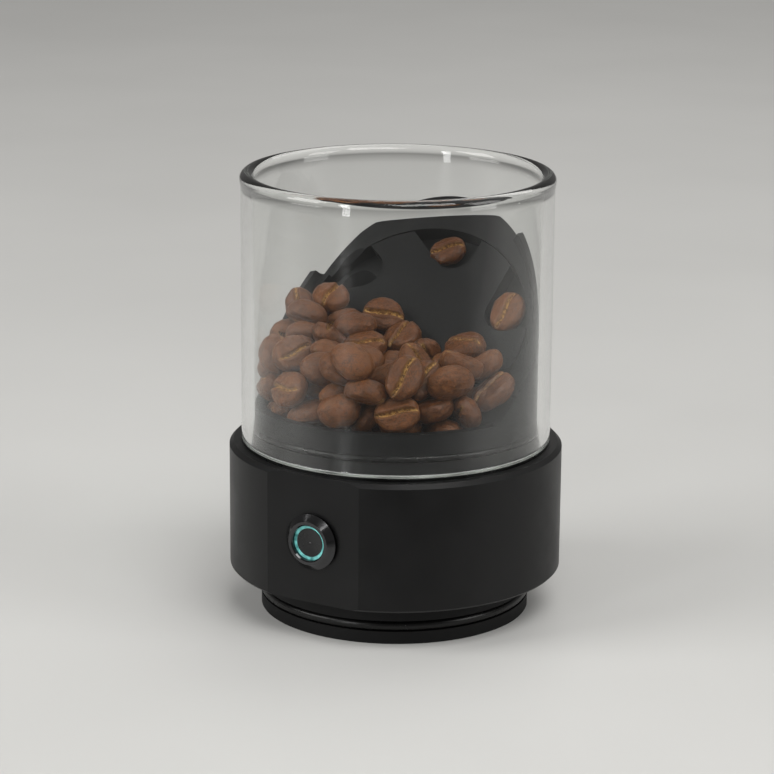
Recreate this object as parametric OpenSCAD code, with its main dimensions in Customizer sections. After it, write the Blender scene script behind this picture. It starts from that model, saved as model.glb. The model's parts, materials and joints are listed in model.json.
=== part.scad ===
// Bean feeder hopper for a burr coffee grinder: a glass hopper on a round powered base.
// A tilted pocket disc lifts beans out of the glass one by one and drops them down a chute
// into the grinder's throat. Millimetres. Origin: centre of the foot's underside; +Z up;
// the button faces -Y.

/* [Housing] */
// Outer diameter of the round housing
body_d = 80; // [70:0.5:90]
// Height of the housing's underside
body_z0 = 10.2; // [8:0.1:14]
// Height of the housing's top rim
body_z1 = 41; // [36:0.5:48]
// Thickness of the housing's side wall
body_wall = 2.6; // [2:0.1:4]
// Distance of the flat button face from the axis
flat_y = 38.04; // [36:0.01:39]
// Height of the bevel round the top rim
rim_bevel = 1; // [0.4:0.1:2]

/* [Foot] */
// Outer diameter of the spigot that plugs into the grinder's throat
foot_d = 64.8; // [50:0.1:72]
// Inner diameter of the spigot
foot_bore = 56; // [46:0.5:60]
// Thickness of the cover plate above the spigot
plate_t = 2.5; // [2:0.1:4]
// Cord diameter of the spigot's sealing ring
ring_cord = 2.4; // [1.5:0.1:3]

/* [Glass] */
// Outer diameter of the glass tube
glass_d = 74.2; // [66:0.1:78]
// Wall thickness of the glass tube
glass_wall = 3; // [2:0.1:4]
// Height of the glass rim
glass_top = 106.2; // [90:0.1:140]

/* [Tray and disc] */
// Outer diameter of the tray inside the glass
tray_d = 67.8; // [60:0.1:70]
// Height of the tray's low front rim
shelf_z = 51.5; // [48:0.5:56]
// Slope of the deck in degrees
deck_tilt = 45; // [30:1:60]
// Height at which the deck crosses the middle axis
deck_z = 60.2; // [56:0.1:66]
// Turn of the deck's low side from the button face in degrees
deck_turn = 3; // [0:1:10]
// Diameter of the feed disc
disc_d = 59; // [50:0.5:62]
// Thickness of the feed disc
disc_t = 4.5; // [3:0.1:6]
// Distance of the disc's centre up the slope from the middle axis
disc_up = 9; // [5:0.5:12]
// Number of bean pockets
pockets = 6; // [4:1:8]
// Diameter of a pocket's rounded end
pocket_d = 11; // [9:0.5:13]
// Bore diameter of the bean chute
chute_d = 12; // [10:0.5:14]

/* [Button] */
// Height of the button's centre
button_z = 25.3; // [20:0.1:32]
// Diameter of the button's bezel
bezel_d = 13.4; // [12:0.1:16]
// Diameter of the button's cap
cap_d = 6.8; // [5:0.1:8]

/* [Battery] */
// Diameter of the cell
cell_d = 14; // [10:0.1:18]
// Length of the cell
cell_l = 50; // [40:0.5:50]

/* [Hidden] */
$fn = 96;
e = 0.02;
body_r = body_d / 2;
bore_r = body_r - body_wall;
flat_in = flat_y - 2.54;
lip_t = 3;
lip_z = body_z1 - lip_t;
lip_r = 34.3;
foot_r = foot_d / 2;
plate_z = body_z0 + plate_t;
ring_z = 4.3;
glass_r = glass_d / 2;
glass_in = glass_r - glass_wall;
seat_t = 0.4;
glass_z0 = body_z1 + seat_t;
tray_r = tray_d / 2;
tray_z0 = 35.2;
disc_r = disc_d / 2;
well_r = disc_r + 0.4;
floor_top = -disc_t - 0.1;
floor_t = 2.2;
floor_low = floor_top - floor_t;
bowl_y = -14.6;
bowl_tilt = 18;
wall_up = 2.3;
exit_x = -20;
exit_y = 16.3;
lug_r = 34.9;
lug_angles = [20, 160, 200, 340];
tray_screw_r = 35.3;
tray_angles = [90, 210, 330];
gear_m = 0.2;
gear_c = gear_m * (9 + 24) / 2;
box_len = 9;
rear = floor_low - box_len + 1;
can_len = 13.8;
can_end = floor_low - box_len - can_len;
post_xy = [[4.6, 3.7], [-4.6, 3.7], [4.6, -3.7], [-4.6, -3.7]];
cell_x = 16.2;
cell_z = 22.5;
pcb_z = 15.2;
pcb_t = 1.2;
pcb_top = pcb_z + pcb_t;
chute_top = [-20.83, 15.23, tray_z0];
chute_a = [-20.83, 15.23, 27.5];
chute_b = [-16, 11.7, 14.5];
chute_end = [-16, 11.7, 2.5];

// Places children in the turned deck: x across, y up the slope, z out of the deck.
module on_deck() {
    rotate([0, 0, deck_turn]) translate([0, 0, deck_z]) rotate([deck_tilt, 0, 0]) children();
}

// The same frame, centred on the feed disc's axis.
module on_disc() {
    on_deck() translate([0, disc_up, 0]) children();
}

// Places children on the button's axis: z points out of the flat face.
module on_switch() {
    translate([0, -flat_y, button_z]) rotate([90, 0, 0]) children();
}

// Everything below the deck plane, moved down by drop along its normal.
module below_deck(drop) {
    on_deck() translate([-60, -90, -80 - drop]) cube([120, 180, 80]);
}

// Everything below the bowl's floor, moved down by drop.
module below_bowl(drop) {
    rotate([0, 0, deck_turn]) translate([0, bowl_y, deck_z + bowl_y - drop])
        rotate([-bowl_tilt, 0, 0]) translate([-60, -60, -60]) cube([120, 120, 60]);
}

// The space above the tray: over the deck, the low rim and the bowl inside that rim. A thin
// wall stands up round the deck, except across its top.
module above_tray() {
    intersection() {
        union() {
            on_deck() translate([-60, -90, wall_up]) cube([120, 180, 120]);
            intersection() {
                on_deck() translate([-60, -90, 0]) cube([120, 180, 120]);
                union() {
                    translate([0, 0, 30]) cylinder(r = tray_r - 1.2, h = 90);
                    on_disc() rotate([0, 0, 19]) translate([-60, 21.2, -10])
                        cube([120, 60, 60]);
                }
            }
        }
        union() {
            translate([-60, -60, shelf_z]) cube([120, 120, 80]);
            intersection() {
                translate([0, 0, 30]) cylinder(r = tray_r - 2.2, h = 40);
                rotate([0, 0, deck_turn]) translate([0, bowl_y, deck_z + bowl_y])
                    rotate([-bowl_tilt, 0, 0]) translate([-60, -60, 0]) cube([120, 120, 60]);
            }
        }
    }
}

// A round bar from point a to point b.
module bar(a, b, r) {
    d = b - a;
    l = norm(d);
    translate(a) rotate([0, acos(d[2] / l), atan2(d[1], d[0])]) cylinder(r = r, h = l);
}

// A round bar through a list of points, with ball joints at the bends.
module path(pts, r) {
    for (i = [0 : len(pts) - 2]) bar(pts[i], pts[i + 1], r);
    for (i = [1 : len(pts) - 2]) translate(pts[i]) sphere(r = r * 1.04);
}

// Inside of the housing, used to trim what fits in it.
module inside(r, front, z0, z1) {
    intersection() {
        translate([0, 0, z0]) cylinder(r = r, h = z1 - z0);
        translate([-60, -front, z0 - 1]) cube([120, 120, z1 - z0 + 2]);
    }
}

// A spur gear with n teeth; the first tooth points along +x turned by phase.
module spur(n, h, bore, phase) {
    root = gear_m * (n / 2 - 1);
    tip = gear_m * (n / 2 + 0.7);
    linear_extrude(height = h) difference() {
        union() {
            circle(r = root);
            for (i = [0 : n - 1]) rotate(phase + i * 360 / n)
                polygon([[root - 0.06, -0.14], [tip, -0.06], [tip, 0.06], [root - 0.06, 0.14]]);
        }
        circle(r = bore);
    }
}

module housing() {
    color("#17181a") difference() {
        intersection() {
            rotate_extrude() polygon([[0, body_z0], [body_r - 0.5, body_z0],
                [body_r, body_z0 + 0.5], [body_r, body_z1 - rim_bevel],
                [body_r - rim_bevel, body_z1], [0, body_z1]]);
            translate([-60, -flat_y, 0]) cube([120, 120, 60]);
        }
        difference() {
            inside(bore_r, flat_in, body_z0 - 1, lip_z);
            for (a = lug_angles) rotate([0, 0, a]) translate([lug_r, 0, plate_z])
                cylinder(r = 3.3, h = 6.3);
        }
        translate([0, 0, lip_z - 1]) cylinder(r = lip_r, h = lip_t + 2);
        on_switch() translate([0, 0, -5]) cylinder(r = 6.05, h = 10);
        for (x = [-3, 3]) translate([x, 30, 18]) rotate([-90, 0, 0]) cylinder(r = 3.4, h = 15);
        translate([-3, 30, 14.6]) cube([6, 15, 6.8]);
        for (a = lug_angles) rotate([0, 0, a]) translate([lug_r, 0, plate_z - 1])
            cylinder(r = 1.27, h = 6.3);
        for (a = tray_angles) rotate([0, 0, a]) translate([tray_screw_r, 0, lip_z - 1])
            cylinder(r = 1.02, h = 3.3);
    }
}

module base_cover() {
    color("#1b1b1d") difference() {
        union() {
            inside(bore_r - 0.2, flat_in - 0.2, body_z0, plate_z);
            cylinder(r = foot_r, h = body_z0 + 0.5);
            for (x = [-5.6, 5.6]) translate([x, 6.5, plate_z - 1])
                cylinder(r = 1.9, h = pcb_z - plate_z + 1);
            for (x = [-5.9, 5.9]) translate([x, 27, plate_z - 1])
                cylinder(r = 1.4, h = pcb_z - plate_z + 1);
        }
        translate([0, 0, -1]) cylinder(r = foot_bore / 2, h = body_z0 + 1);
        translate([0, 0, ring_z - 1.3]) difference() {
            cylinder(r = foot_r + 1, h = 2.6);
            translate([0, 0, -1]) cylinder(r = 30.25, h = 5);
        }
        translate([chute_end[0], chute_end[1], 0]) cylinder(r = 7.05, h = 20);
        for (a = lug_angles) rotate([0, 0, a]) translate([lug_r, 0, body_z0 - 1]) {
            cylinder(r = 1.35, h = 5);
            translate([0, 0, 1 - e]) cylinder(r1 = 2.2, r2 = 1.3, h = 1.3);
        }
        for (x = [-5.6, 5.6]) translate([x, 6.5, pcb_z - 2.9]) cylinder(r = 0.9, h = 4);
    }
}

module spigot_ring() {
    color("#0c0c0d") translate([0, 0, ring_z]) rotate_extrude()
        translate([30.27 + ring_cord / 2, 0]) circle(r = ring_cord / 2, $fn = 48);
}

module cover_screws() {
    color("#8d9094") for (a = lug_angles) rotate([0, 0, a]) translate([lug_r, 0, body_z0]) {
        difference() {
            cylinder(r1 = 2.15, r2 = 1.22, h = 1.3);
            translate([0, 0, -1]) cylinder(r = 0.75, h = 1.8, $fn = 6);
        }
        translate([0, 0, 1.2]) cylinder(r = 1.22, h = 6);
    }
}

module glass_tube() {
    color("#c8d2cc", 0.35) rotate_extrude() union() {
        translate([glass_in, glass_z0 + 0.8])
            square([glass_wall, glass_top - glass_z0 - 2.55]);
        translate([glass_in + 0.8, glass_z0]) square([glass_wall - 1.6, 2]);
        for (x = [glass_in + 0.8, glass_r - 0.8]) translate([x, glass_z0 + 0.8])
            circle(r = 0.8, $fn = 32);
        translate([glass_r - glass_wall / 2, glass_top - 1.75]) circle(r = 1.75, $fn = 48);
    }
}

module glass_seat() {
    color("#101011") translate([0, 0, body_z1]) difference() {
        cylinder(r = glass_r - 0.1, h = seat_t);
        translate([0, 0, -1]) cylinder(r = lip_r + 0.2, h = 3);
    }
}

module tray() {
    color("#141415") difference() {
        union() {
            translate([0, 0, tray_z0]) cylinder(r = tray_r, h = 80);
            inside(36.9, flat_in - 0.2, tray_z0, lip_z);
        }
        above_tray();
        difference() {
            intersection() {
                union() {
                    cylinder(r = 31.2, h = 47.5);
                    translate([0, 0, 47]) cylinder(r = 32.3, h = 60);
                }
                union() {
                    below_deck(-floor_low);
                    below_bowl(2.2);
                }
            }
            rotate([0, 0, deck_turn]) translate([exit_x, exit_y, -10])
                cylinder(r = chute_d / 2 + 1.2, h = 110);
        }
        on_disc() translate([0, 0, floor_top]) cylinder(r = well_r, h = 20);
        rotate([0, 0, deck_turn]) translate([exit_x, exit_y, 20])
            cylinder(r = chute_d / 2, h = 90);
        on_disc() translate([-40, 12.9, -1.4]) rotate([6, 0, 0]) cube([26, 22, 14]);
        on_disc() translate([0, 0, -20]) cylinder(r = 2, h = 30);
        for (p = post_xy) on_disc() translate([p[0], p[1], floor_low - 1]) {
            cylinder(r = 0.85, h = 10);
            translate([0, 0, 1 + floor_t - 1]) cylinder(r1 = 0.8, r2 = 1.65, h = 1 + e);
        }
        for (a = tray_angles) rotate([0, 0, a]) translate([tray_screw_r, 0, tray_z0 - 1])
            cylinder(r = 1.1, h = 5);
        translate([0, 0, 44.85]) difference() {
            cylinder(r = tray_r + 1, h = 1.6);
            translate([0, 0, -1]) cylinder(r = 32.55, h = 4);
        }
    }
}

module tray_ring() {
    color("#0b0b0c") translate([0, 0, 45.65]) rotate_extrude()
        translate([33.31, 0]) circle(r = 0.74, $fn = 32);
}

module tray_screws() {
    color("#8d9094") for (a = tray_angles) rotate([0, 0, a])
        translate([tray_screw_r, 0, tray_z0]) {
            difference() {
                translate([0, 0, -1.3]) cylinder(r = 1.8, h = 1.3);
                translate([0, 0, -2]) cylinder(r = 0.75, h = 1.4, $fn = 6);
            }
            cylinder(r = 1, h = 4.8);
        }
}

// One pocket: a round end inside the disc's rim, open to the rim and tapering out along it.
module pocket() {
    hull() {
        rotate(20) translate([disc_r - 4.9, 0]) circle(r = pocket_d / 2, $fn = 32);
        rotate(14) translate([disc_r + 1, 0]) circle(r = 2, $fn = 32);
        rotate(46) translate([disc_r + 0.4, 0]) circle(r = 0.6, $fn = 32);
    }
}

module feed_disc() {
    color("#19191b") on_disc() difference() {
        translate([0, 0, -disc_t]) cylinder(r = disc_r, h = disc_t);
        for (i = [0 : pockets - 1]) rotate([0, 0, i * 360 / pockets])
            translate([0, 0, -disc_t - 1]) linear_extrude(height = disc_t + 2) pocket();
        translate([0, 0, -disc_t - 1]) intersection() {
            cylinder(r = 1.52, h = disc_t);
            translate([-3, -3, 0]) cube([6, 4.02, disc_t]);
        }
        translate([0, 0, -1.6]) cylinder(r = 1.1, h = 3);
        translate([0, 0, -1.1]) cylinder(r1 = 1.05, r2 = 2.1, h = 1.1 + e);
    }
}

module disc_screw() {
    color("#77797d") on_disc() difference() {
        union() {
            translate([0, 0, -1.1]) cylinder(r1 = 1, r2 = 2, h = 1.05);
            translate([0, 0, -4.8]) cylinder(r = 1, h = 3.75);
        }
        translate([0, 0, -0.7]) cylinder(r = 0.65, h = 2, $fn = 6);
    }
}

module output_shaft() {
    color("#b9bcc0") on_disc() difference() {
        union() {
            intersection() {
                translate([0, 0, rear + 4.4]) cylinder(r = 1.5, h = -1.3 - rear - 4.4);
                translate([-3, -3, rear]) cube([6, 4, 30]);
            }
            translate([0, 0, rear + 4.4]) cylinder(r = 1.5, h = floor_low - rear - 4.4);
            translate([0, 0, rear + 1.75]) cylinder(r = 0.4, h = 3);
        }
        translate([0, 0, -5.1]) cylinder(r = 1.02, h = 6);
    }
}

module output_gear() {
    color("#c6a24a") on_disc() translate([0, 0, rear + 4.6]) spur(24, 1.8, 1.5, 0);
}

module gear_3() {
    color("#c6a24a") on_disc() translate([gear_c, 0, rear + 3.1]) {
        spur(24, 1, 0.55, 7.5);
        translate([0, 0, 1]) spur(9, 1.9, 0.55, 0);
    }
}

module gear_2() {
    color("#c6a24a") on_disc() translate([0, 0, rear + 1.75]) {
        spur(24, 0.95, 0.46, 0);
        translate([0, 0, 0.95]) spur(9, 1.6, 0.46, 0);
    }
}

module gear_1() {
    color("#c6a24a") on_disc() translate([gear_c, 0, rear + 0.3]) {
        spur(24, 1, 0.55, 7.5);
        translate([0, 0, 1]) spur(9, 1.6, 0.55, 0);
    }
}

module idler_pin() {
    color("#b9bcc0") on_disc() translate([gear_c, 0, rear - 0.6]) cylinder(r = 0.5, h = 8.2);
}

// Outline of a gearbox plate with its four screw holes.
module plate_2d(hole) {
    difference() {
        square([12, 10], center = true);
        for (p = post_xy) translate(p) circle(r = hole, $fn = 32);
        translate([gear_c, 0]) circle(r = 0.52, $fn = 32);
    }
}

module gearbox_front() {
    color("#c9b16b") on_disc() translate([0, 0, floor_low - 1]) difference() {
        linear_extrude(height = 1) plate_2d(0.8);
        translate([0, 0, -1]) cylinder(r = 1.55, h = 3);
    }
}

module gearbox_rear() {
    color("#c9b16b") on_disc() translate([0, 0, rear - 1]) difference() {
        linear_extrude(height = 1) plate_2d(0.75);
        translate([0, 0, -1]) cylinder(r = 1.2, h = 3);
    }
}

module gearbox_posts() {
    color("#c9b16b") for (p = post_xy) on_disc() translate([p[0], p[1], rear]) difference() {
        cylinder(r = 1.1, h = box_len - 2);
        translate([0, 0, -1]) cylinder(r = 0.8, h = box_len);
    }
}

module gearbox_screws() {
    color("#8d9094") for (p = post_xy) on_disc() translate([p[0], p[1], 0]) difference() {
        union() {
            translate([0, 0, floor_top - 0.98]) cylinder(r1 = 0.76, r2 = 1.55, h = 0.93);
            translate([0, 0, rear - 1]) cylinder(r = 0.74, h = floor_top - rear + 0.2);
        }
        translate([0, 0, floor_top - 0.6]) cylinder(r = 0.5, h = 2, $fn = 6);
    }
}

module can_2d(r, half) {
    intersection() {
        circle(r = r);
        square([20, 2 * half], center = true);
    }
}

module motor_can() {
    color("#a9acb0") on_disc() translate([0, 0, can_end]) difference() {
        linear_extrude(height = can_len) can_2d(6, 5);
        translate([0, 0, -1]) linear_extrude(height = can_len + 0.4) can_2d(5.5, 4.5);
        cylinder(r = 1.1, h = 30);
    }
}

module motor_magnets() {
    color("#3b3c40") on_disc() translate([0, 0, can_end + 3]) intersection() {
        difference() {
            cylinder(r = 5.48, h = 10);
            translate([0, 0, -1]) cylinder(r = 4.4, h = 12);
        }
        for (x = [-7.2, 3.2]) translate([x, -4.3, -1]) cube([4, 8.6, 12]);
    }
}

module motor_rotor() {
    color("#6f4a33") on_disc() translate([0, 0, can_end]) {
        translate([0, 0, 3.5]) cylinder(r = 4.2, h = 8.5);
        translate([0, 0, 0.4]) cylinder(r = 0.5, h = can_len + 2.2);
        translate([0, 0, 1.4]) cylinder(r = 1.4, h = 2.2);
    }
}

module motor_pinion() {
    color("#c6a24a") on_disc() translate([0, 0, rear + 0.1]) spur(9, 1.5, 0.5, 0);
}

module motor_end_cap() {
    color("#e4e2da") on_disc() translate([0, 0, can_end - 0.8]) difference() {
        union() {
            linear_extrude(height = 0.8) can_2d(5.9, 4.9);
            translate([0, 0, 0.7]) linear_extrude(height = 1.2) can_2d(5.48, 4.48);
        }
        translate([0, 0, 1.1]) cylinder(r = 0.55, h = 3);
        for (x = [-3.6, 3.6]) translate([x - 0.2, -0.8, -1]) cube([0.4, 1.6, 4]);
    }
}

module motor_terminals() {
    color("#c9a04c") for (x = [-3.6, 3.6]) on_disc()
        translate([x - 0.17, -0.77, can_end - 2.4]) cube([0.34, 1.54, 4]);
}

module chute() {
    color("#222326") difference() {
        union() {
            path([chute_top, chute_a, chute_b, chute_end], 7);
            translate([chute_b[0], chute_b[1], plate_z]) cylinder(r = 9, h = 1.5);
        }
        path([chute_top + [0, 0, 1], chute_a, chute_b, chute_end - [0, 0, 1]], 5.9);
        translate(chute_top - [0, 0, 1.5]) cylinder(r1 = 5.9, r2 = 6.4, h = 1.6);
    }
}

module switch_bezel() {
    color("#0d0d0e") on_switch() rotate_extrude() polygon([
        [3.45, -2], [3.45, 0.3], [4.22, 0.3], [4.22, 2], [4.5, 2.3], [bezel_d / 2 - 1.5, 2.3],
        [bezel_d / 2, 0.9], [bezel_d / 2, 0.3], [5.97, 0.3], [5.97, -14], [5.2, -14],
        [5.2, -12], [4.6, -12], [4.6, -2]]);
}

module switch_gasket() {
    color("#090909") on_switch() difference() {
        cylinder(r = 6.6, h = 0.3);
        translate([0, 0, -1]) cylinder(r = 6.1, h = 3);
    }
}

module switch_nut() {
    color("#9a9da1") on_switch() translate([0, 0, -4.6]) difference() {
        cylinder(r = 14 / sqrt(3), h = 2.04, $fn = 6);
        translate([0, 0, -1]) cylinder(r = 5.98, h = 4);
    }
}

module light_ring() {
    color("#7fdcd4") on_switch() translate([0, 0, 0.3]) difference() {
        cylinder(r = 4.2, h = 0.95);
        translate([0, 0, -1]) cylinder(r = 3.45, h = 4);
    }
}

module button_cap() {
    color("#111112") on_switch() difference() {
        union() {
            translate([0, 0, -3]) cylinder(r = cap_d / 2, h = 4.35);
            translate([0, 0, -3.4]) cylinder(r = 4.3, h = 1.35);
            translate([0, 0, -7]) cylinder(r = cap_d / 2, h = 4);
        }
        translate([0, 0, -8]) cylinder(r = 2.6, h = 4.6);
        translate([0, 0, 1.35 + 18.3]) sphere(r = 18.6);
    }
}

module button_spring() {
    color("#b9bcc0") on_switch() translate([0, 0, -11.7])
        linear_extrude(height = 6.9, twist = -1440, slices = 96, segments = 18) difference() {
            polygon([[0, 0], for (i = [-4 : 4]) [2.25 * cos(i * 13), 2.25 * sin(i * 13)]]);
            circle(r = 1.75, $fn = 24);
        }
}

module switch_block() {
    color("#26272a") on_switch() translate([0, 0, -17]) union() {
        cylinder(r = 5.15, h = 5);
        cylinder(r = 5.6, h = 2.8);
    }
}

module switch_pins() {
    color("#c9a04c") on_switch() {
        for (x = [-3, 3]) translate([x - 0.25, -0.8, -21]) cube([0.5, 1.6, 4]);
        for (y = [-3, 3]) translate([-0.8, y - 0.25, -21]) cube([1.6, 0.5, 4]);
    }
}

module cell() {
    color("#2f6f8f") translate([cell_x, -cell_l / 2, cell_z]) rotate([-90, 0, 0]) union() {
        cylinder(r = cell_d / 2, h = cell_l - 1.2);
        cylinder(r = 2.6, h = cell_l);
    }
}

module cell_holder() {
    color("#1f2022") difference() {
        translate([cell_x - 8, -27, plate_z + 0.8]) cube([16, 54, 11.5]);
        translate([cell_x, -25.9, cell_z]) rotate([-90, 0, 0])
            cylinder(r = cell_d / 2 + 0.15, h = 51.8);
        translate([cell_x - cell_d / 2 - 0.15, -25.9, cell_z]) cube([cell_d + 0.3, 51.8, 20]);
    }
}

module cell_contacts() {
    color("#c3c5c8") for (s = [-1, 1]) translate([cell_x, s * 25.65, cell_z])
        rotate([90, 0, 0]) union() {
            translate([0, 0, -0.15]) cylinder(r = 4.5, h = 0.3);
            translate([0, 0, s > 0 ? 0.1 : -0.6]) cylinder(r = 1.8, h = 0.5);
        }
}

module holder_pad() {
    color("#3a3b3d") translate([cell_x - 7, -26, plate_z]) cube([14, 52, 0.8]);
}

module circuit_board() {
    color("#1e5a3a") difference() {
        translate([-7.5, 3.5, pcb_z]) cube([15, 33, pcb_t]);
        for (x = [-5.6, 5.6]) translate([x, 6.5, pcb_z - 1]) cylinder(r = 1.1, h = 4);
        for (s = [-1, 1]) translate([s * 9.1, 37.2, pcb_z - 1]) rotate([0, 0, 45])
            cube([4, 4, 8], center = true);
    }
}

module board_screws() {
    color("#8d9094") for (x = [-5.6, 5.6]) translate([x, 6.5, pcb_top]) difference() {
        union() {
            cylinder(r = 1.8, h = 1.1);
            translate([0, 0, -3.6]) cylinder(r = 0.88, h = 3.8);
        }
        translate([0, 0, 0.5]) cylinder(r = 0.75, h = 2, $fn = 6);
    }
}

module control_chip() {
    color("#1a1a1c") translate([-6, 13.5, pcb_top]) union() {
        translate([0.6, 0, 0.1]) cube([3.8, 5, 1.3]);
        for (y = [0.4, 1.6, 2.8, 4]) for (x = [0, 4.2])
            translate([x, y, 0]) cube([0.8, 0.5, 0.6]);
    }
}

module charge_coil() {
    color("#3a3a3c") translate([3.8, 25.4, pcb_top]) union() {
        translate([-2, -2, 0]) cube([4, 4, 0.6]);
        cylinder(r = 1.7, h = 2.1);
    }
}

module charge_inlet() {
    color("#b4b7bb") translate([0, 29.6, 18]) rotate([-90, 0, 0]) difference() {
        union() {
            for (x = [-2.9, 2.9]) translate([x, 0, 0]) cylinder(r = 1.6, h = 7.3);
            translate([-2.9, -1.6, 0]) cube([5.8, 3.2, 7.3]);
        }
        translate([0, 0, 1.2]) {
            for (x = [-2.9, 2.9]) translate([x, 0, 0]) cylinder(r = 1.3, h = 7.3);
            translate([-2.9, -1.3, 0]) cube([5.8, 2.6, 7.3]);
        }
    }
}

module inlet_tongue() {
    color("#202123") translate([-3.3, 30.8, 17.65]) cube([6.6, 4.6, 0.7]);
}

// A two-way plug with its top at z = 4 above the board.
module plug(x, y) {
    translate([x - 2.2, y - 1.5, pcb_top]) cube([4.4, 3, 3.6]);
}

module wire_plugs() {
    color("#e6e3d8") {
        plug(-3.5, 24);
        plug(4, 18);
        plug(0, 10.5);
    }
}

module motor_leads() {
    color("#b23a30") path([[2.1, 28.8, 43.2], [1.6, 28.4, 36], [-2.6, 24.2, 26],
        [-2.6, 24, pcb_top + 3.6]], 0.55);
    color("#202123") path([[-5.1, 28.5, 43.2], [-5.2, 28, 36], [-4.5, 24.2, 27],
        [-4.6, 24, pcb_top + 3.6]], 0.55);
}

module cell_leads() {
    color("#b23a30") path([[9, 27.6, 24.2], [7.2, 27.5, 24.1], [4.9, 18, 23.8],
        [4.9, 18, pcb_top + 3.6]], 0.55);
    color("#202123") path([[9, -27.6, 24.2], [7.3, -27.5, 24.1], [7.4, 8, 24],
        [3.1, 18, 22.5], [3.1, 18, pcb_top + 3.6]], 0.55);
}

module switch_leads() {
    color("#b23a30") path([[3, -17, button_z], [3, -10, button_z], [0.9, 10.5, 24],
        [0.9, 10.5, pcb_top + 3.6]], 0.55);
    color("#202123") path([[-3, -17, button_z], [-3, -10, button_z], [-0.9, 10.5, 24],
        [-0.9, 10.5, pcb_top + 3.6]], 0.55);
}

housing();
base_cover();
spigot_ring();
cover_screws();
glass_tube();
glass_seat();
tray();
tray_ring();
tray_screws();
feed_disc();
disc_screw();
output_shaft();
output_gear();
gear_3();
gear_2();
gear_1();
idler_pin();
gearbox_front();
gearbox_rear();
gearbox_posts();
gearbox_screws();
motor_can();
motor_magnets();
motor_rotor();
motor_pinion();
motor_end_cap();
motor_terminals();
chute();
switch_bezel();
switch_gasket();
switch_nut();
light_ring();
button_cap();
button_spring();
switch_block();
switch_pins();
cell();
cell_holder();
cell_contacts();
holder_pad();
circuit_board();
board_screws();
control_chip();
charge_coil();
charge_inlet();
inlet_tongue();
wire_plugs();
motor_leads();
cell_leads();
switch_leads();
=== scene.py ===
import json
import math
import random

import bpy
import bmesh
from mathutils import Matrix, Vector, noise


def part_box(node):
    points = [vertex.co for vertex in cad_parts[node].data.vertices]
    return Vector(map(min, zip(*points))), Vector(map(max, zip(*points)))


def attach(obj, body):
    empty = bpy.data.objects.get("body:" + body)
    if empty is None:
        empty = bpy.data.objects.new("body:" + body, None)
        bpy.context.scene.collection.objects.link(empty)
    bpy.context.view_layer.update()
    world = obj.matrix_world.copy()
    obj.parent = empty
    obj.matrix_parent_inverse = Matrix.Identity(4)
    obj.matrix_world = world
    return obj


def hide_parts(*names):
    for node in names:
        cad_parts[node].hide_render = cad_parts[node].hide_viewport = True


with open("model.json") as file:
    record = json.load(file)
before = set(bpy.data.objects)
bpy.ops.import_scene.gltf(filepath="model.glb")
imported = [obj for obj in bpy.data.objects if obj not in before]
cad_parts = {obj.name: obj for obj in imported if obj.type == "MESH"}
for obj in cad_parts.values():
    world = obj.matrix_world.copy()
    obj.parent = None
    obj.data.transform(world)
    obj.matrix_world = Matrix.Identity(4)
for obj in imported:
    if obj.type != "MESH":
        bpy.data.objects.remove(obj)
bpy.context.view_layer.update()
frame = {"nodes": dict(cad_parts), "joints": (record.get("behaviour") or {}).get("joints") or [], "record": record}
NODES = frame["nodes"]
MM = 0.001

# ---------------------------------------------------------------- material helpers


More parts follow.
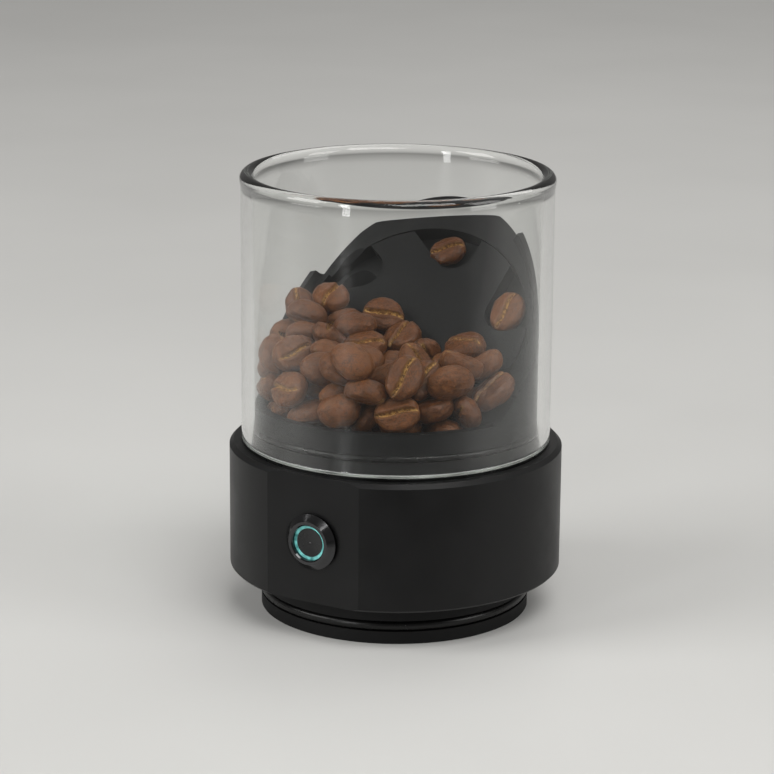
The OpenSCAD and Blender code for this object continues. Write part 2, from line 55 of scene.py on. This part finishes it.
class Tree:
    """Small helper round one material's node tree."""

    def __init__(self, name):
        self.material = bpy.data.materials.new(name)
        self.material.use_nodes = True
        self.tree = self.material.node_tree
        self.tree.nodes.clear()
        self.output = self.node("ShaderNodeOutputMaterial")
        self.coords = None

    def node(self, kind, **inputs):
        n = self.tree.nodes.new(kind)
        for key, value in inputs.items():
            n.inputs[key.replace("_", " ")].default_value = value
        return n

    def link(self, a, b):
        self.tree.links.new(a, b)

    def object_coords(self):
        if self.coords is None:
            self.coords = self.node("ShaderNodeTexCoord").outputs["Object"]
        return self.coords

    def noise(self, size_mm, detail=2.0, rough=0.5, stretch=None, offset=0.0):
        """Noise whose features are about size_mm across, in object space."""
        n = self.node("ShaderNodeTexNoise")
        n.inputs["Scale"].default_value = 1.0 / (size_mm * MM)
        n.inputs["Detail"].default_value = detail
        n.inputs["Roughness"].default_value = rough
        source = self.object_coords()
        if stretch is not None or offset:
            m = self.node("ShaderNodeMapping")
            m.inputs["Scale"].default_value = stretch or (1, 1, 1)
            m.inputs["Location"].default_value = (offset, offset * 0.7, offset * 1.3)
            self.link(source, m.inputs["Vector"])
            source = m.outputs["Vector"]
        self.link(source, n.inputs["Vector"])
        return n.outputs["Fac"]

    def remap(self, value, lo, hi, out_lo, out_hi):
        r = self.node("ShaderNodeMapRange")
        r.inputs["From Min"].default_value = lo
        r.inputs["From Max"].default_value = hi
        r.inputs["To Min"].default_value = out_lo
        r.inputs["To Max"].default_value = out_hi
        self.link(value, r.inputs["Value"])
        return r.outputs["Result"]

    def math(self, operation, a, b=None):
        """A math node; b may be a socket or a number."""
        m = self.node("ShaderNodeMath")
        m.operation = operation
        self.link(a, m.inputs[0])
        if hasattr(b, "links"):
            self.link(b, m.inputs[1])
        elif b is not None:
            m.inputs[1].default_value = b
        return m.outputs[0]

    def mix(self, factor, a, b):
        m = self.node("ShaderNodeMix")
        m.data_type = "RGBA"
        colours = [s for s in m.inputs if s.type == "RGBA"]
        for socket, value in zip(colours, (a, b)):
            if hasattr(value, "links"):
                self.link(value, socket)
            else:
                socket.default_value = (*value, 1.0)
        self.link(factor, m.inputs["Factor"])
        return [s for s in m.outputs if s.type == "RGBA"][0]

    def bump(self, height, strength, depth_mm, normal=None):
        b = self.node("ShaderNodeBump")
        b.inputs["Strength"].default_value = strength
        b.inputs["Distance"].default_value = depth_mm * MM
        self.link(height, b.inputs["Height"])
        if normal is not None:
            self.link(normal, b.inputs["Normal"])
        return b.outputs["Normal"]

    def principled(self, colour, roughness, normal=None, **plain):
        p = self.node("ShaderNodeBsdfPrincipled")
        for socket, value in (("Base Color", colour), ("Roughness", roughness)):
            if hasattr(value, "links"):
                self.link(value, p.inputs[socket])
            elif socket == "Base Color":
                p.inputs[socket].default_value = (*value, 1.0)
            else:
                p.inputs[socket].default_value = value
        for key, value in plain.items():
            p.inputs[key.replace("_", " ")].default_value = value
        if normal is not None:
            self.link(normal, p.inputs["Normal"])
        return p

    def finish(self, shader):
        self.link(shader.outputs[0], self.output.inputs["Surface"])
        return self.material


PATCH_MM = 9.0


def grained(name, dark, light, rough, grain_mm, depth_mm, **plain):
    """A fine-grained surface: colour and gloss drift in patches, with grain in the bump."""
    t = Tree(name)
    patch = t.noise(PATCH_MM, 3.0)
    grain = t.noise(grain_mm, 2.0, 0.6)
    colour = t.mix(t.remap(patch, 0.3, 0.7, 0.0, 1.0), dark, light)
    gloss = t.remap(patch, 0.3, 0.7, rough - 0.04, rough + 0.05)
    return t.finish(t.principled(colour, gloss, t.bump(grain, 0.5, depth_mm), **plain))


def metal(name, colour, rough, brush=(1, 1, 1), grain_mm=0.12, depth_mm=0.004):
    """Plain or brushed metal with fine marks."""
    t = Tree(name)
    marks = t.noise(grain_mm, 3.0, 0.6, stretch=brush)
    patch = t.noise(3.0, 3.0)
    shade = tuple(c * 0.8 for c in colour)
    tone = t.mix(t.remap(patch, 0.3, 0.7, 0.0, 1.0), shade, colour)
    gloss = t.remap(marks, 0.3, 0.7, rough - 0.06, rough + 0.08)
    return t.finish(t.principled(tone, gloss, t.bump(marks, 0.4, depth_mm), Metallic=1.0))


# ---------------------------------------------------------------- materials

M = {}
M["black_anodised"] = grained("black_anodised", (0.0036, 0.0036, 0.0038), (0.0054, 0.0054, 0.0056), 0.42, 0.16,
                              0.007, Specular_IOR_Level=0.24)
M["black_nylon"] = grained("black_nylon", (0.003, 0.003, 0.0032), (0.0048, 0.0048, 0.005), 0.58, 0.8, 0.0008,
                           Specular_IOR_Level=0.2)
M["disc_nylon"] = grained("disc_nylon", (0.0026, 0.0026, 0.0028), (0.004, 0.004, 0.0042), 0.56, 0.8, 0.0006,
                          Specular_IOR_Level=0.2)
M["black_rubber"] = grained("black_rubber", (0.0025, 0.0025, 0.0025), (0.004, 0.004, 0.004), 0.27, 0.5, 0.002,
                            Specular_IOR_Level=0.3)
M["zinc_steel"] = metal("zinc_steel", (0.62, 0.63, 0.65), 0.28)
M["gear_brass"] = metal("gear_brass", (0.72, 0.5, 0.19), 0.3)
M["motor_steel"] = metal("motor_steel", (0.68, 0.68, 0.7), 0.24, brush=(1, 1, 0.1))
M["magnet_grey"] = grained("magnet_grey", (0.03, 0.03, 0.032), (0.05, 0.05, 0.053), 0.6, 0.2, 0.01)
M["copper_wire"] = metal("copper_wire", (0.75, 0.33, 0.15), 0.35, brush=(1, 1, 4))
M["white_nylon"] = grained("white_nylon", (0.66, 0.65, 0.6), (0.74, 0.73, 0.69), 0.45, 0.3, 0.01)
M["black_gloss_metal"] = grained("black_gloss_metal", (0.06, 0.06, 0.062), (0.072, 0.072, 0.075), 0.13, 0.25,
                                 0.001, Metallic=1.0)
M["button_black"] = grained("button_black", (0.008, 0.008, 0.0085), (0.011, 0.011, 0.012), 0.3, 0.2, 0.004,
                            Metallic=0.2)
M["cell_wrap"] = grained("cell_wrap", (0.02, 0.12, 0.22), (0.03, 0.16, 0.27), 0.25, 0.8, 0.01)
M["pad_foam"] = grained("pad_foam", (0.03, 0.03, 0.032), (0.05, 0.05, 0.052), 0.9, 0.4, 0.08)
M["board_green"] = grained("board_green", (0.006, 0.07, 0.03), (0.01, 0.1, 0.045), 0.3, 0.4, 0.01)
M["chip_black"] = grained("chip_black", (0.012, 0.012, 0.013), (0.018, 0.018, 0.02), 0.55, 0.1, 0.01)
M["lead_red"] = grained("lead_red", (0.4, 0.02, 0.015), (0.48, 0.03, 0.02), 0.35, 0.6, 0.01)


def light_lens():
    """The lit ring: a pale cyan lens that glows, a little uneven round its length."""
    t = Tree("light_lens")
    uneven = t.noise(1.7, 2.0)
    colour = t.mix(t.remap(uneven, 0.35, 0.65, 0.0, 1.0), (0.03, 0.19, 0.19), (0.22, 0.58, 0.56))
    p = t.principled(colour, 0.3, t.bump(t.noise(0.3), 0.3, 0.004))
    p.inputs["Emission Color"].default_value = (0.16, 0.78, 0.74, 1.0)
    t.link(t.remap(uneven, 0.38, 0.62, 0.02, 0.2), p.inputs["Emission Strength"])
    return t.finish(p)


M["light_lens"] = light_lens()


def clear_glass():
    """Clear glass with faint smears and a ground lower end; shadow rays pass through it."""
    t = Tree("clear_glass")
    smear = t.noise(14.0, 4.0, 0.6, stretch=(1, 1, 0.35))
    split = t.node("ShaderNodeSeparateXYZ")
    t.link(t.object_coords(), split.inputs[0])
    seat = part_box("glass_tube")[0][2]
    ground = t.remap(split.outputs["Z"], seat + 0.0007, seat + 0.0003, 0.0, 1.0)
    worn = t.remap(t.noise(11.0, 2.0), 0.35, 0.65, 0.0, 1.0)
    frosted = t.mix(worn, (0.05, 0.056, 0.05), (0.26, 0.28, 0.26))
    tint = t.mix(ground, (0.94, 0.946, 0.937), frosted)
    gloss = t.remap(smear, 0.45, 0.75, 0.0, 0.012)
    p = t.principled(tint, gloss, IOR=1.48)
    t.link(t.remap(ground, 0.0, 1.0, 1.0, 0.1), p.inputs["Transmission Weight"])
    clear = t.node("ShaderNodeBsdfTransparent")
    clear.inputs["Color"].default_value = (0.93, 0.95, 0.94, 1.0)
    path = t.node("ShaderNodeLightPath")
    mix = t.node("ShaderNodeMixShader")
    t.link(path.outputs["Is Shadow Ray"], mix.inputs["Fac"])
    t.link(p.outputs[0], mix.inputs[1])
    t.link(clear.outputs[0], mix.inputs[2])
    return t.finish(mix)


M["clear_glass"] = clear_glass()

SLOTS = {s["node"]: s["material_slot"] for s in frame["record"]["subparts"]}
for name, obj in NODES.items():
    slot = "disc_nylon" if name == "feed_disc" else SLOTS[name]
    obj.data.materials.clear()
    obj.data.materials.append(M[slot])
    obj.data.shade_smooth()

# ---------------------------------------------------------------- mesh helpers


def add_mesh(name, verts, faces, material, smooth=True):
    mesh = bpy.data.meshes.new(name)
    mesh.from_pydata([tuple(v) for v in verts], [], faces)
    mesh.update()
    obj = bpy.data.objects.new(name, mesh)
    bpy.context.scene.collection.objects.link(obj)
    if material:
        mesh.materials.append(material)
    if smooth:
        mesh.shade_smooth()
    return obj


def lathe(name, profile, material, steps=240):
    """A closed ring turned about Z from a closed (radius, height) outline in mm."""
    verts, faces, n = [], [], len(profile)
    for i in range(steps):
        a = 2 * math.pi * i / steps
        for r, z in profile:
            verts.append((r * MM * math.cos(a), r * MM * math.sin(a), z * MM))
    for i in range(steps):
        j = (i + 1) % steps
        for k in range(n):
            m = (k + 1) % n
            faces.append((i * n + k, j * n + k, j * n + m, i * n + m))
    return add_mesh(name, verts, faces, material)


def arc(cx, cz, r, start, end, count):
    """Points in mm on an arc, angles in degrees."""
    return [(cx + r * math.cos(math.radians(start + (end - start) * i / count)),
             cz + r * math.sin(math.radians(start + (end - start) * i / count))) for i in range(count + 1)]


# ---------------------------------------------------------------- glass tube

GLASS_LOW, GLASS_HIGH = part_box("glass_tube")
seat_z, rim_z = GLASS_LOW[2] / MM, GLASS_HIGH[2] / MM
OUTER_R, WALL, BEAD_DROP = 37.1, 3.0, 1.75  # mm
inner = OUTER_R - WALL
bead = rim_z - BEAD_DROP
outline = (arc(OUTER_R - 0.8, seat_z + 0.8, 0.8, -90, 0, 8)
           + [(OUTER_R, seat_z + 8), (OUTER_R, seat_z + 30), (OUTER_R, bead - 3.0), (OUTER_R + 0.02, bead - 1.6)]
           + arc(OUTER_R - 1.5, bead, 1.74, -10, 190, 22)
           + [(inner - 0.02, bead - 1.6), (inner, bead - 3.0), (inner, seat_z + 30), (inner, seat_z + 8)]
           + arc(inner + 0.8, seat_z + 0.8, 0.8, 180, 270, 8))
glass = lathe("glass_wall", outline, M["clear_glass"], 320)
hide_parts("glass_tube")
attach(glass, "glass")

# ---------------------------------------------------------------- coffee beans (contents, on stage only)


def bean_material():
    """Medium roast: brown skin with fine wrinkles, golden chaff in the crease."""
    t = Tree("roasted_bean")
    info = t.node("ShaderNodeObjectInfo").outputs["Random"]
    crease = t.node("ShaderNodeAttribute")
    crease.attribute_name = "crease"
    blotch = t.noise(2.6, 4.0, 0.6)
    fine = t.noise(0.35, 3.0, 0.6)
    skin = t.mix(t.remap(blotch, 0.3, 0.72, 0.0, 1.0), (0.05, 0.0145, 0.0026), (0.122, 0.039, 0.0074))
    shade = t.mix(t.remap(info, 0.0, 1.0, 0.0, 0.55), skin, (0.15, 0.05, 0.01))
    darker = t.mix(t.remap(fine, 0.35, 0.6, 0.55, 0.0), shade, (0.026, 0.008, 0.002))
    ridge = t.math("ABSOLUTE", t.math("SUBTRACT", t.noise(2.8, 5.0, 0.6, offset=0.4), 0.5))
    crack = t.remap(ridge, 0.0, 0.022, 0.8, 0.0)
    darker = t.mix(crack, darker, (0.012, 0.004, 0.001))
    chaff = t.remap(t.noise(0.55, 4.0, 0.65), 0.42, 0.58, 0.0, 1.0)
    torn = t.math("MULTIPLY", crease.outputs["Fac"], chaff)
    colour = t.mix(torn, darker, (0.55, 0.33, 0.11))
    wrinkle = t.noise(1.5, 4.0, 0.65, stretch=(0.6, 1.3, 1.3))
    normal = t.bump(wrinkle, 0.9, 0.5)
    normal = t.bump(fine, 0.5, 0.06, normal)
    gloss = t.remap(blotch, 0.3, 0.7, 0.36, 0.52)
    return t.finish(t.principled(colour, gloss, normal, Specular_IOR_Level=0.26))


M["bean"] = bean_material()


def sphere_point(p):
    """A point of a cube's grid moved onto the unit sphere with an even spread."""
    x, y, z = p
    return Vector((x * math.sqrt(max(0, 1 - y * y / 2 - z * z / 2 + y * y * z * z / 3)),
                   y * math.sqrt(max(0, 1 - z * z / 2 - x * x / 2 + z * z * x * x / 3)),
                   z * math.sqrt(max(0, 1 - x * x / 2 - y * y / 2 + x * x * y * y / 3))))


def grid_ball(cuts):
    bm = bmesh.new()
    bmesh.ops.create_cube(bm, size=2.0)
    bmesh.ops.subdivide_edges(bm, edges=bm.edges[:], cuts=cuts, use_grid_fill=True)
    for v in bm.verts:
        v.co = sphere_point(v.co)
    return bm


def bean_mesh(name, seed, size, cuts):
    """One coffee bean, size in mm: domed back up (+Z), flatter face down with a curved crease."""
    rng = random.Random(seed)
    length, width, height = size
    bm = grid_ball(cuts)
    layer = bm.verts.layers.float.new("crease")
    bend, lean = rng.uniform(0.25, 0.6) * rng.choice((-1, 1)), rng.uniform(-0.1, 0.1)
    shift = Vector([rng.uniform(0, 50) for _ in range(3)])
    waist, droop = rng.uniform(0.0, 0.08), rng.uniform(-0.5, 0.5)
    for v in bm.verts:
        q = v.co.copy()
        a, b = length / 2, width / 2
        X = q.x * a
        Y = q.y * b * (1 + 0.06 * q.x - waist * math.exp(-(q.x / 0.35) ** 2))
        if q.z >= 0:
            Z = height * (0.58 * q.z ** 0.92 - 0.08)
        else:
            Z = -height * (0.08 + 0.34 * (1 - (1 - min(1, -q.z)) ** 2.2))
        Z += droop * q.x * q.x * 0.5
        line = bend * math.sin(q.x * 2.8) + lean * X
        off = Y - line
        under = min(1.0, max(0.0, -q.z) * 2.0)
        reach = under * max(0.0, 1 - abs(q.x) ** 6 * 0.8)
        groove = math.exp(-(off / 0.36) ** 2) * reach
        lips = math.exp(-((abs(off) - 0.95) / 0.6) ** 2) * reach
        Z += 1.35 * groove - 0.34 * lips
        at = Vector((X, Y, Z))
        n = noise.noise(at * 0.42 + shift) * 0.26 + noise.noise(at * 1.15 + shift) * 0.1
        n += noise.noise(Vector((X * 0.5, Y * 1.9, Z * 1.9)) + shift) * 0.07
        v.co = (at + q * n) * MM
        v[layer] = min(1.0, 1.3 * math.exp(-(off / 0.34) ** 2) * reach)
    mesh = bpy.data.meshes.new(name)
    bm.to_mesh(mesh)
    bm.free()
    mesh.shade_smooth()
    mesh.materials.append(M["bean"])
    return mesh


rng = random.Random(11)
# length, width and height in mm
SIZES = [(rng.uniform(10.0, 12.0), rng.uniform(7.9, 9.2), rng.uniform(5.4, 6.2)) for _ in range(7)]
CUTS = 23
SHAPES = [bean_mesh("bean_%d" % i, 40 + i, size, CUTS) for i, size in enumerate(SIZES)]


POUR_SCALE = 100.0
POUR_WALL_PIECES = 28


def settle(count, frames):
    """Pours beans into the glass with rigid bodies at POUR_SCALE times life size."""
    scene = bpy.context.scene
    made = []
    bpy.ops.rigidbody.world_add()
    world = scene.rigidbody_world
    world.collection = bpy.data.collections.new("pour")
    world.constraints = bpy.data.collections.new("pour_links")
    world.substeps_per_frame = 8
    world.solver_iterations = 16
    scene.gravity = (0, 0, -30)
    scene.frame_start, scene.frame_end = 1, frames
    world.point_cache.frame_start, world.point_cache.frame_end = 1, frames

    def body(obj, active, shape, friction):
        scene.collection.objects.link(obj)
        world.collection.objects.link(obj)
        obj.rigid_body.type = "ACTIVE" if active else "PASSIVE"
        obj.rigid_body.collision_shape = shape
        obj.rigid_body.friction = friction
        obj.rigid_body.restitution = 0.05
        obj.rigid_body.use_margin = True
        obj.rigid_body.collision_margin = 0.004
        if active:
            obj.rigid_body.mass = 1.0
            obj.rigid_body.linear_damping = 0.12
            obj.rigid_body.angular_damping = 0.25
        made.append(obj)

    for node in ("tray", "feed_disc"):
        mesh = NODES[node].data.copy()
        mesh.transform(Matrix.Scale(POUR_SCALE, 4))
        body(bpy.data.objects.new("pour_" + node, mesh), False, "MESH", 0.5)
    for i in range(POUR_WALL_PIECES):
        a = 2 * math.pi * i / POUR_WALL_PIECES
        mesh = bpy.data.meshes.new("pour_wall")
        bm = bmesh.new()
        bmesh.ops.create_cube(bm, size=1.0)
        bm.to_mesh(mesh)
        bm.free()
        mesh.transform(Matrix.Diagonal((1.0, 1.0, 26.0, 1.0)))
        obj = bpy.data.objects.new("pour_wall", mesh)
        reach = inner * 0.1 + 0.43
        obj.location = (reach * math.cos(a), reach * math.sin(a), 17.0)
        obj.rotation_euler = (0, 0, a)
        body(obj, False, "BOX", 0.4)
    pour = random.Random(5)
    beans = []
    for i in range(count):
        k = i % len(SHAPES)
        mesh = bpy.data.meshes.new("pour_bean")
        bm = grid_ball(3)
        bm.to_mesh(mesh)
        bm.free()
        mesh.transform(Matrix.Diagonal([0.5 * POUR_SCALE * MM * d for d in SIZES[k]] + [1.0]))
        obj = bpy.data.objects.new("pour_bean_%d" % i, mesh)
        layer, spot = divmod(i, 6)
        a = 2 * math.pi * (spot / 6 + layer * 0.13)
        obj.location = (-0.55 + 1.35 * math.cos(a), -0.75 + 1.2 * math.sin(a), 8.2 + layer * 0.95)
        obj.rotation_euler = [pour.uniform(0, 6.28) for _ in range(3)]
        body(obj, True, "CONVEX_HULL", 0.65)
        beans.append((k, obj))
    for f in range(1, frames + 1):
        scene.frame_set(f)
    deps = bpy.context.evaluated_depsgraph_get()
    result = []
    for k, obj in beans:
        m = obj.evaluated_get(deps).matrix_world.copy()
        m.translation = m.translation / POUR_SCALE
        result.append((k, Matrix.LocRotScale(m.translation, m.to_quaternion(), None)))
    bpy.ops.rigidbody.world_remove()
    for obj in made:
        data = obj.data
        bpy.data.objects.remove(obj)
        bpy.data.meshes.remove(data)
    for name in ("pour", "pour_links"):
        bpy.data.collections.remove(bpy.data.collections[name])
    scene.frame_set(1)
    return result


def place_bean(name, k, matrix, body):
    obj = bpy.data.objects.new(name, SHAPES[k])
    bpy.context.scene.collection.objects.link(obj)
    obj.matrix_world = matrix
    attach(obj, body)
    return obj


turn = random.Random(9)
TO_CAMERA = Vector((0.48, -0.84, 0.24))
BEANS, FRAMES, CREASES_SHOWN = 66, 140, 0.6
LOWEST, WIDEST = 0.045, 0.0345
for i, (k, matrix) in enumerate(settle(BEANS, FRAMES)):
    where = matrix.translation
    # a bean that escaped the pour is left out
    if where.z < LOWEST or where.xy.length > WIDEST:
        continue
    # the hulls in the pour are the same above and below, so either face may be turned to the camera
    shows_crease = (matrix.to_3x3() @ Vector((0, 0, -1))).dot(TO_CAMERA) > 0
    if shows_crease != (turn.random() < CREASES_SHOWN):
        matrix = matrix @ Matrix.Rotation(math.pi, 4, "X")
    place_bean("pile_bean_%02d" % i, k, matrix, "base")

JOINTS = {j["name"]: j for j in frame["joints"]}
AXIS = Vector(JOINTS["disc_spin"]["axis"]).normalized()
CENTRE = Vector(JOINTS["disc_spin"]["pos_m"])
UP_SLOPE = (Vector((0, 0, 1)) - AXIS * AXIS.z).normalized()
ACROSS = UP_SLOPE.cross(AXIS).normalized()


def on_disc(angle, radius_mm, height_mm):
    """A point in the disc's plane: angle from the level direction, height out of its face."""
    a = math.radians(angle)
    return CENTRE + (ACROSS * math.cos(a) + UP_SLOPE * math.sin(a)) * radius_mm * MM + AXIS * height_mm * MM


def pocket_bean(name, k, angle, radius, height, long_angle):
    """A bean lying in a pocket, its crease outward and its length at long_angle in the disc's plane."""
    a = math.radians(long_angle)
    x = (ACROSS * math.cos(a) + UP_SLOPE * math.sin(a)).normalized()
    z = -AXIS
    y = z.cross(x).normalized()
    x = y.cross(z).normalized()
    m = Matrix((x, y, z)).transposed().to_4x4()
    m.translation = on_disc(angle, radius, height)
    place_bean(name, k, m, "feeder")


pocket_bean("pocket_bean_right", 1, 21.5, 24.6, -1.9, 82)
SMALL = len(SHAPES)
SHAPES.append(bean_mesh("bean_small", 61, (9.2, 7.3, 5.2), CUTS))
pocket_bean("pocket_bean_top", SMALL, 85.5, 24.2, -1.4, 24)

# ---------------------------------------------------------------- floor, light, camera

floor_tree = Tree("pale_floor")
cloud = floor_tree.noise(180.0, 3.0)
speck = floor_tree.noise(0.6, 2.0)
drift = floor_tree.remap(cloud, 0.3, 0.7, 0.0, 1.0)
floor_colour = floor_tree.mix(drift, (0.56, 0.56, 0.55), (0.6, 0.6, 0.59))
# painted dark reflection: for glossy rays the floor in front is painted near black, as if the table ended there in
# a dark room
toward = floor_tree.node("ShaderNodeVectorMath")
toward.operation = "DOT_PRODUCT"
toward.inputs[1].default_value = (0.5, -0.866, 0.0)
floor_tree.link(floor_tree.object_coords(), toward.inputs[0])
painted_dark_reflection = floor_tree.math("MULTIPLY", floor_tree.remap(toward.outputs["Value"], 0.05, 0.2, 0.0, 0.85),
                        floor_tree.node("ShaderNodeLightPath").outputs["Is Glossy Ray"])
# painted reflection: the near-black floor colour is seen only by glossy rays
floor_colour = floor_tree.mix(painted_dark_reflection, floor_colour, (0.02, 0.02, 0.02))
floor_material = floor_tree.finish(
    floor_tree.principled(floor_colour, 0.5, floor_tree.bump(speck, 0.15, 0.01), Specular_IOR_Level=0.3))
S = 6.0
corners = [(-S, -S, 0), (S, -S, 0), (S, S, 0), (-S, S, 0)]
floor = add_mesh("floor", corners, [(0, 1, 2, 3)], floor_material, False)

world = bpy.data.worlds.new("studio")
bpy.context.scene.world = world
world.use_nodes = True
wt = world.node_tree
wt.nodes.clear()
background = wt.nodes.new("ShaderNodeBackground")
background.inputs["Color"].default_value = (1.0, 0.985, 0.96, 1.0)
background.inputs["Strength"].default_value = 0.2
wout = wt.nodes.new("ShaderNodeOutputWorld")
wt.links.new(background.outputs[0], wout.inputs["Surface"])


def area(name, where, target, size, power, colour=(1, 1, 1)):
    light = bpy.data.lights.new(name, "AREA")
    light.shape = "RECTANGLE"
    light.size, light.size_y = size
    light.energy = power
    light.color = colour
    obj = bpy.data.objects.new(name, light)
    bpy.context.scene.collection.objects.link(obj)
    obj.visible_camera = False
    obj.location = where
    obj.rotation_euler = (Vector(target) - Vector(where)).to_track_quat("-Z", "Y").to_euler()
    return obj


# the camera looks from 30 degrees right of the button's face; lights are set out from its viewpoint
VIEW = math.radians(30)


def from_camera(right, back, up):
    """A point in metres: right of the view, away from the camera behind the object, and up."""
    c, s = math.cos(VIEW), math.sin(VIEW)
    return (right * c - back * s, right * s + back * c, up)


area("softbox_back", from_camera(0.45, 0.9, 1.2), (0, 0, 0.04), (1.2, 0.8), 5.6, (1.0, 0.985, 0.96))
area("softbox_front", from_camera(0.35, -0.8, 1.3), (0, -0.1, 0.0), (1.0, 0.7), 13.0, (1.0, 0.99, 0.97))
area("softbox_left", from_camera(-1.15, -0.35, 0.75), (0, 0, 0.05), (0.7, 0.8), 9.8, (1.0, 0.99, 0.97))
area("softbox_right", from_camera(1.25, -0.5, 0.7), (0, 0, 0.05), (0.6, 0.8), 6.4, (1.0, 0.99, 0.97))
area("strip_front", from_camera(-0.72, -0.9, 0.32), (0, 0, 0.05), (0.12, 0.55), 2.2)

camera = bpy.data.cameras.new("camera")
camera.lens = 133.26
camera.sensor_width = 36.0
camera.clip_start, camera.clip_end = 0.05, 50
cam = bpy.data.objects.new("camera", camera)
bpy.context.scene.collection.objects.link(cam)
# fitted to the outlines of the base, foot and glass in the photo: metres and radians
DISTANCE, HEIGHT, YAW, PITCH, ROLL = 0.66367, 0.23255, -0.0033, 0.2635, 0.0078
yaw = VIEW - YAW
forward = Vector((-math.sin(yaw) * math.cos(PITCH), math.cos(yaw) * math.cos(PITCH), -math.sin(PITCH)))
right = Vector((math.cos(yaw), math.sin(yaw), 0))
up = right.cross(forward)
r = right * math.cos(ROLL) + up * math.sin(ROLL)
u = -right * math.sin(ROLL) + up * math.cos(ROLL)
cam.matrix_world = Matrix((r, u, -forward)).transposed().to_4x4()
cam.location = from_camera(0, -DISTANCE, HEIGHT)
bpy.context.scene.camera = cam

scene = bpy.context.scene
scene.view_settings.view_transform = "Standard"
scene.view_settings.look = "None"
